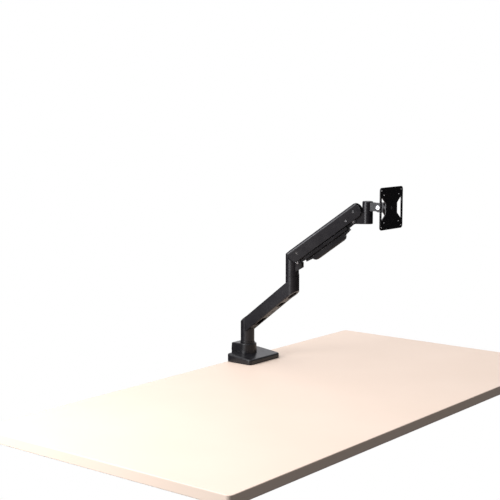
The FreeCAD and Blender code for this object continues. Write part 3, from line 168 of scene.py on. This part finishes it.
def coated(name, dark, light, worn, rough, grain, relief, soft=0.5 * MM, dust=0.25):
    """Satin powder coat: mottled tone, fine orange-peel, handled patches, rubbed edges and thin dust."""
    shader = Shader(name, rough, specular=0.42)
    broad = shader.noise(26, 4, 0.55)
    fine = shader.noise(900, 2, 0.6)
    tone = shader.blend(shader.span(broad, 0.35, 0.68), dark, light)
    speck = shader.span(shader.cells(1400), 0.05, 0.30, 0.12, 0.0)
    tone = shader.blend(shader.calc("MULTIPLY", speck, shader.span(fine, 0.45, 0.7, 0.0, 0.4)), tone, worn)
    rub = shader.calc("MULTIPLY", shader.edges(0.7 * MM), shader.span(shader.noise(160, 4), 0.42, 0.66))
    tone = shader.blend(shader.calc("MULTIPLY", rub, 0.6), tone, worn)
    cloud = shader.span(shader.noise(70, 6, 0.65), 0.4, 0.75)
    film = shader.calc("MULTIPLY", shader.upward(0.55, 0.95), cloud)
    film = shader.calc("MULTIPLY", film, dust)
    tone = shader.blend(film, tone, (0.20, 0.195, 0.19))
    shader.set("Base Color", tone)
    patch = shader.span(shader.noise(38, 5, 0.6, distortion=0.6), 0.3, 0.7, -0.025, 0.025)
    streak = shader.span(shader.noise(14, 6, 0.7, shader.stretched((1, 1, 9))), 0.35, 0.7, -0.015, 0.015)
    level = shader.calc("ADD", shader.calc("ADD", patch, streak), rough)
    shader.set("Roughness", shader.calc("ADD", level, shader.calc("MULTIPLY", film, 0.5)))
    fine_peel = shader.calc("MULTIPLY", shader.noise(grain * 3.2, 2), 0.4)
    peel = shader.calc("ADD", shader.noise(grain, 2), fine_peel)
    shader.bump(peel, relief, 0.6, soft)
    return shader.material


def moulded(name, dark, light, worn, rough, grain, relief, dust=0.25, soft=0.4 * MM):
    """Moulded plastic with a spark-eroded grain, flow tone, shiny rubbed edges and dust in the grain."""
    shader = Shader(name, rough, specular=0.38, sheen=0.02)
    flow = shader.noise(18, 3, 0.5, distortion=1.2)
    tone = shader.blend(shader.span(flow, 0.3, 0.7), dark, light)
    rub = shader.calc("MULTIPLY", shader.edges(0.8 * MM), shader.span(shader.noise(120, 4), 0.4, 0.62))
    tone = shader.blend(shader.calc("MULTIPLY", rub, 0.6), tone, worn)
    cloud = shader.span(shader.noise(55, 6, 0.7), 0.42, 0.75)
    film = shader.calc("MULTIPLY", shader.upward(0.5, 0.95), cloud)
    film = shader.calc("MULTIPLY", film, dust)
    shader.set("Base Color", shader.blend(film, tone, (0.19, 0.185, 0.18)))
    wear = shader.span(shader.noise(30, 5, 0.6), 0.3, 0.7, rough - 0.03, rough + 0.03)
    shader.set("Roughness", shader.calc("SUBTRACT", wear, shader.calc("MULTIPLY", rub, 0.15)))
    swell = shader.calc("MULTIPLY", shader.noise(grain * 0.5, 2), 0.5)
    pits = shader.calc("ADD", shader.cells(grain), swell)
    shader.bump(pits, relief, 0.55, soft)
    return shader.material


def rubbery(name, dark, light, rough=0.82):
    """Matt rubber with pores, grey bloom and dust that clings."""
    shader = Shader(name, rough, specular=0.3, sheen=0.12)
    bloom = shader.span(shader.noise(60, 5, 0.65), 0.4, 0.72)
    tone = shader.blend(bloom, dark, light)
    lint = shader.span(shader.cells(420), 0.0, 0.11, 0.5, 0.0)
    shader.set("Base Color", shader.blend(lint, tone, (0.17, 0.165, 0.16)))
    shader.set("Roughness", shader.span(shader.noise(90, 4), 0.3, 0.7, rough - 0.1, rough + 0.08))
    shader.bump(shader.noise(1500, 3, 0.7), 0.06 * MM, 0.7, 0.4 * MM)
    return shader.material


def brushed(name, dark, light, rough, scale, relief=0.02 * MM):
    """Bare or plated steel: turning marks along one axis, cloudy plating, fine scratches, dull edges."""
    shader = Shader(name, rough, metallic=1.0, specular=0.5)
    lines = shader.noise(1.0, 3, 0.6, shader.stretched(scale))
    cloud = shader.span(shader.noise(110, 5, 0.6, distortion=0.5), 0.3, 0.7)
    tone = shader.blend(cloud, dark, light)
    scratch = shader.span(shader.noise(1.0, 6, 0.8, shader.stretched((900, 60, 900))), 0.62, 0.70)
    tone = shader.blend(shader.calc("MULTIPLY", scratch, 0.35), tone, (0.9, 0.9, 0.92))
    rim = shader.calc("MULTIPLY", shader.edges(0.35 * MM), 0.35)
    shader.set("Base Color", shader.blend(rim, tone, (0.30, 0.30, 0.31)))
    streak = shader.span(lines, 0.3, 0.7, -0.08, 0.1)
    level = shader.span(cloud, 0.0, 1.0, rough - 0.04, rough + 0.05)
    shader.set("Roughness", shader.calc("ADD", streak, level))
    shader.bump(lines, relief, 0.5, 0.25 * MM)
    return shader.material


CASTING = coated("satin_coat_casting", (0.0078, 0.0070, 0.0092), (0.0104, 0.0096, 0.0122),
                 (0.050, 0.048, 0.052), 0.36, 1300, 0.012 * MM, dust=0.06)
STEEL_COAT = coated("powder_coat_steel", (0.0056, 0.0052, 0.0066), (0.0084, 0.0078, 0.0098),
                    (0.046, 0.045, 0.048), 0.31, 1000, 0.015 * MM, dust=0.05)
PLASTIC = moulded("grained_black_plastic", (0.0052, 0.0048, 0.0060), (0.0082, 0.0076, 0.0092),
                  (0.040, 0.039, 0.042), 0.32, 1100, 0.012 * MM, dust=0.05)
BEARING = moulded("bearing_acetal", (0.017, 0.017, 0.018), (0.026, 0.026, 0.027),
                  (0.060, 0.060, 0.062), 0.38, 2400, 0.012 * MM, 0.1)
RUBBER = rubbery("matt_rubber", (0.0085, 0.0083, 0.0085), (0.018, 0.0175, 0.0175))
BRIGHT = brushed("bright_plated_steel", (0.50, 0.50, 0.52), (0.68, 0.68, 0.70), 0.27, (700, 700, 90))
TURNED = brushed("turned_steel", (0.46, 0.46, 0.47), (0.62, 0.62, 0.64), 0.24, (90, 90, 2600))
BLACKED = coated("black_oxide_steel", (0.010, 0.010, 0.011), (0.016, 0.016, 0.018),
                 (0.12, 0.118, 0.115), 0.30, 2600, 0.012 * MM, 0.3 * MM, 0.12)

FINISH = {
    "coated_steel": STEEL_COAT,
    "coated_casting": CASTING,
    "black_plastic": PLASTIC,
    "rubber": RUBBER,
    "bright_steel": BRIGHT,
    "black_steel": BLACKED,
    "bearing_plastic": BEARING,
}
ROUND_PARTS = ("clamp_pad", "pivot_post", "elbow_shaft", "gas_rod", "swivel_shaft")


def paint(piece, material):
    piece.data.materials.clear()
    piece.data.materials.append(material)


slot_of = {row["node"]: row["material_slot"] for row in frame["record"]["subparts"]}
for node, piece in frame["nodes"].items():
    paint(piece, TURNED if node in ROUND_PARTS else FINISH[slot_of[node]])


# ---------------------------------------------------------------- new pieces
def placed(name, data):
    """An object in the scene that shows a mesh, a light or a camera."""
    piece = bpy.data.objects.new(name, data)
    bpy.context.scene.collection.objects.link(piece)
    return piece


def lathe(name, profile, centre, segments, cut):
    """A closed turned mesh about a vertical axis; cut(angle, z, r) gives the radius a thread leaves."""
    verts, faces = [], []
    for r, z in profile:
        for i in range(segments):
            angle = 2 * math.pi * i / segments
            radius = cut(angle, z, r)
            verts.append((centre.x + radius * math.cos(angle), centre.y + radius * math.sin(angle), z))
    for row in range(len(profile) - 1):
        for i in range(segments):
            j = (i + 1) % segments
            a, b = row * segments, (row + 1) * segments
            faces.append((a + i, a + j, b + j, b + i))
    faces.append(tuple(reversed(range(segments))))
    last = (len(profile) - 1) * segments
    faces.append(tuple(range(last, last + segments)))
    mesh = bpy.data.meshes.new(name)
    mesh.from_pydata(verts, [], faces)
    mesh.validate()
    return placed(name, mesh)


def threaded_clamp_screw():
    """The clamp screw with its real thread and its rounded head."""
    low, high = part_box("clamp_screw")
    head_r = (high.x - low.x) / 2
    centre = Vector(((low.x + high.x) / 2, (low.y + high.y) / 2, 0))
    crest, depth, pitch, head_long = 5 * MM, 0.75 * MM, 2 * MM, 14 * MM
    root = crest - depth
    head_top = low.z + head_long
    thread_low = head_top + 2 * MM
    rows_per_turn = 8
    land, flank_wide = 0.12, 0.76
    profile = [(head_r - 1.6 * MM, low.z), (head_r - 0.5 * MM, low.z + 0.5 * MM),
               (head_r, low.z + 1.6 * MM), (head_r, head_top - 1.4 * MM),
               (head_r - 0.5 * MM, head_top - 0.4 * MM), (head_r - 1.4 * MM, head_top),
               (root, head_top), (root, thread_low)]
    rows = int((high.z - 1 * MM - thread_low) / (pitch / rows_per_turn))
    profile += [(crest, thread_low + (i + 1) * pitch / rows_per_turn) for i in range(rows)]
    profile += [(root, high.z - 0.8 * MM), (root - 0.6 * MM, high.z)]

    def cut(angle, z, r):
        if r != crest:
            return r
        phase = (z / pitch - angle / (2 * math.pi)) % 1
        flank = abs(phase * 2 - 1)
        return crest - depth * min(1.0, max(0.0, (flank - land) / flank_wide))
    piece = lathe("threaded_clamp_screw", profile, centre, 40, cut)
    paint(piece, TURNED)
    for polygon in piece.data.polygons:
        polygon.use_smooth = False
    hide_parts("clamp_screw")
    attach(piece, "clamp_screw")


threaded_clamp_screw()


# ---------------------------------------------------------------- stage, light and camera
def rounded_slab(name, x0, x1, y0, y1, top, thick, corner, edge):
    """A plain slab with rounded corners and a small rounded edge, as stage for the clamp."""
    steps = 8

    def loop(inset, z):
        points = []
        for cx, cy, start in ((x1 - corner, y1 - corner, 0), (x0 + corner, y1 - corner, 90),
                              (x0 + corner, y0 + corner, 180), (x1 - corner, y0 + corner, 270)):
            for i in range(steps + 1):
                angle = math.radians(start + 90 * i / steps)
                radius = corner - inset
                points.append((cx + radius * math.cos(angle), cy + radius * math.sin(angle), z))
        return points
    rows = []
    for i in range(7):
        turn = math.radians(15 * i)
        rows.append((edge * (1 - math.sin(turn)), top - edge * (1 - math.cos(turn))))
    rows += [(inset, 2 * top - thick - z) for inset, z in reversed(rows)]
    verts, faces = [], []
    for inset, z in rows:
        verts += loop(inset, z)
    count = 4 * (steps + 1)
    for row in range(len(rows) - 1):
        for i in range(count):
            j = (i + 1) % count
            a, b = row * count, (row + 1) * count
            faces.append((a + i, b + i, b + j, a + j))
    faces.append(tuple(range(count)))
    faces.append(tuple(reversed(range((len(rows) - 1) * count, len(rows) * count))))
    mesh = bpy.data.meshes.new(name)
    mesh.from_pydata(verts, [], faces)
    return placed(name, mesh)


def stage():
    slab = rounded_slab("stage_slab", -0.975, 0.547, -0.740, 0.0225, 0.0, 0.0248, 0.012, 0.002)
    shader = Shader("pale_stage", 0.55, specular=0.3)
    soft = shader.span(shader.noise(3, 4), 0.3, 0.7)
    shader.set("Base Color", shader.blend(soft, (0.76, 0.62, 0.51), (0.78, 0.64, 0.53)))
    paint(slab, shader.material)


def world():
    """White behind the object; for the light that falls on it, bright above and dim at the sides."""
    sky = bpy.data.worlds.new("studio")
    bpy.context.scene.world = sky
    sky.use_nodes = True
    tree = sky.node_tree
    tree.nodes.clear()
    coord = tree.nodes.new("ShaderNodeTexCoord")
    split = tree.nodes.new("ShaderNodeSeparateXYZ")
    ramp = tree.nodes.new("ShaderNodeValToRGB")
    tree.links.new(coord.outputs["Generated"], split.inputs["Vector"])
    half = tree.nodes.new("ShaderNodeMath")
    half.operation = "MULTIPLY_ADD"
    half.inputs[1].default_value = 0.5
    half.inputs[2].default_value = 0.5
    tree.links.new(split.outputs["Z"], half.inputs[0])
    tree.links.new(half.outputs["Value"], ramp.inputs["Fac"])
    stops = [(0.0, 0.06), (0.42, 0.025), (0.56, 0.035), (0.75, 0.36), (1.0, 0.90)]
    ramp.color_ramp.elements[0].position = stops[0][0]
    ramp.color_ramp.elements[1].position = stops[-1][0]
    for position, _ in stops[1:-1]:
        ramp.color_ramp.elements.new(position)
    for element, (_, level) in zip(ramp.color_ramp.elements, stops):
        element.color = (level, level * 0.99, level * 1.03, 1.0)
    seen = tree.nodes.new("ShaderNodeBackground")
    seen.inputs["Color"].default_value = (1.0, 1.0, 1.0, 1.0)
    lit = tree.nodes.new("ShaderNodeBackground")
    tree.links.new(ramp.outputs["Color"], lit.inputs["Color"])
    path = tree.nodes.new("ShaderNodeLightPath")
    mix = tree.nodes.new("ShaderNodeMixShader")
    out = tree.nodes.new("ShaderNodeOutputWorld")
    tree.links.new(path.outputs["Is Camera Ray"], mix.inputs["Fac"])
    tree.links.new(lit.outputs["Background"], mix.inputs[1])
    tree.links.new(seen.outputs["Background"], mix.inputs[2])
    tree.links.new(mix.outputs["Shader"], out.inputs["Surface"])


def softbox(name, place, target, size, power, colour):
    light = bpy.data.lights.new(name, "AREA")
    light.shape = "RECTANGLE"
    light.size, light.size_y = size
    light.energy = power
    light.color = colour
    lamp = placed(name, light)
    lamp.location = place
    lamp.rotation_mode = "QUATERNION"
    lamp.rotation_quaternion = (Vector(target) - Vector(place)).to_track_quat("-Z", "Y")
    lamp.visible_camera = False


def camera():
    data = bpy.data.cameras.new("camera")
    data.sensor_width = 36.0
    data.lens = 83.88
    data.clip_start, data.clip_end = 0.05, 50.0
    cam = placed("camera", data)
    cam.location = (-2.638, -2.119, 0.745)
    pitch = math.radians(7.1)
    ahead = Vector((0.781 * math.cos(pitch), 0.6246 * math.cos(pitch), -math.sin(pitch)))
    cam.rotation_mode = "QUATERNION"
    cam.rotation_quaternion = ahead.to_track_quat("-Z", "Y")
    bpy.context.scene.camera = cam


stage()
world()
softbox("overhead", (-0.3, 0.1, 2.6), (0, -0.2, 0.2), (2.4, 2.4), 38, (1.0, 0.99, 1.0))
softbox("left_key", (-2.2, 0.45, 0.9), (0, -0.15, 0.3), (1.1, 1.5), 66, (0.97, 0.97, 1.0))
softbox("backdrop", (1.9, 1.5, 0.8), (0, -0.15, 0.2), (3.2, 1.4), 12, (1.0, 0.99, 1.02))
camera()
bpy.context.scene.view_settings.view_transform = "Standard"
